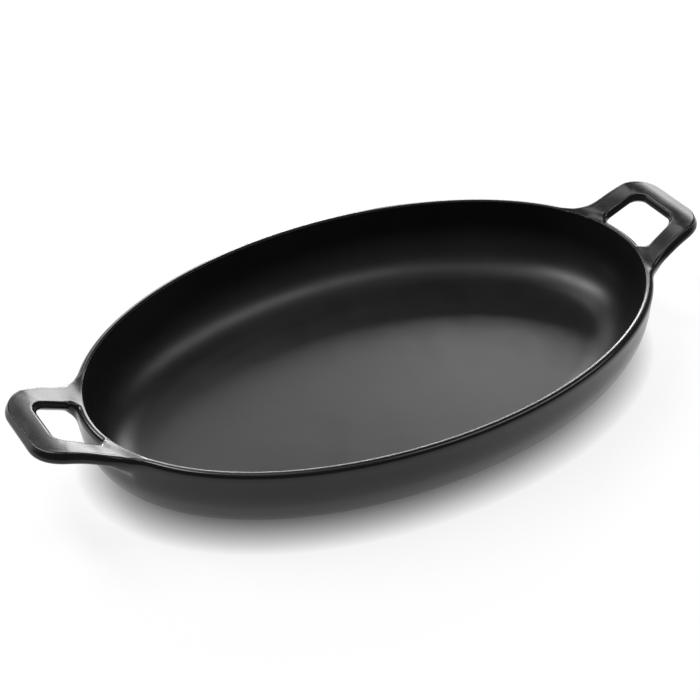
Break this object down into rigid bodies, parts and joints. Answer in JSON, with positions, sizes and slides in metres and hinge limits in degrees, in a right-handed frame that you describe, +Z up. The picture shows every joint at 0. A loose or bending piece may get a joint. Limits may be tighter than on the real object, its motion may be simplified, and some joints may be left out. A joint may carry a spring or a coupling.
{
  "type": "oval pan",
  "caption": "Shallow oval cast-iron pan with an almost upright wall, a broadly rounded base edge and an upswept loop handle at each end, enamelled black inside and out.",
  "frame": {"origin": "middle of the flat base, on the surface that the pan stands on", "axes": "+X along the pan's length towards the right handle, +Y across its width, +Z up"},
  "size_m": [0.3614, 0.189, 0.053],
  "materials": {
    "cast_iron": "sand-cast grey iron, hidden under the enamel",
    "satin_enamel": "black satin vitreous enamel with broad soft highlights",
    "gloss_enamel": "black semi-gloss vitreous enamel over slightly wavy cast iron",
    "matt_enamel": "black matt ground-coat enamel on the underside"
  },
  "bodies": {
    "root": {"pan_body": "cast_iron", "left_handle": "cast_iron", "right_handle": "cast_iron", "interior_enamel": "satin_enamel", "exterior_enamel": "gloss_enamel", "left_handle_enamel": "gloss_enamel", "right_handle_enamel": "gloss_enamel", "base_enamel": "matt_enamel"}
  },
  "joints": []
}
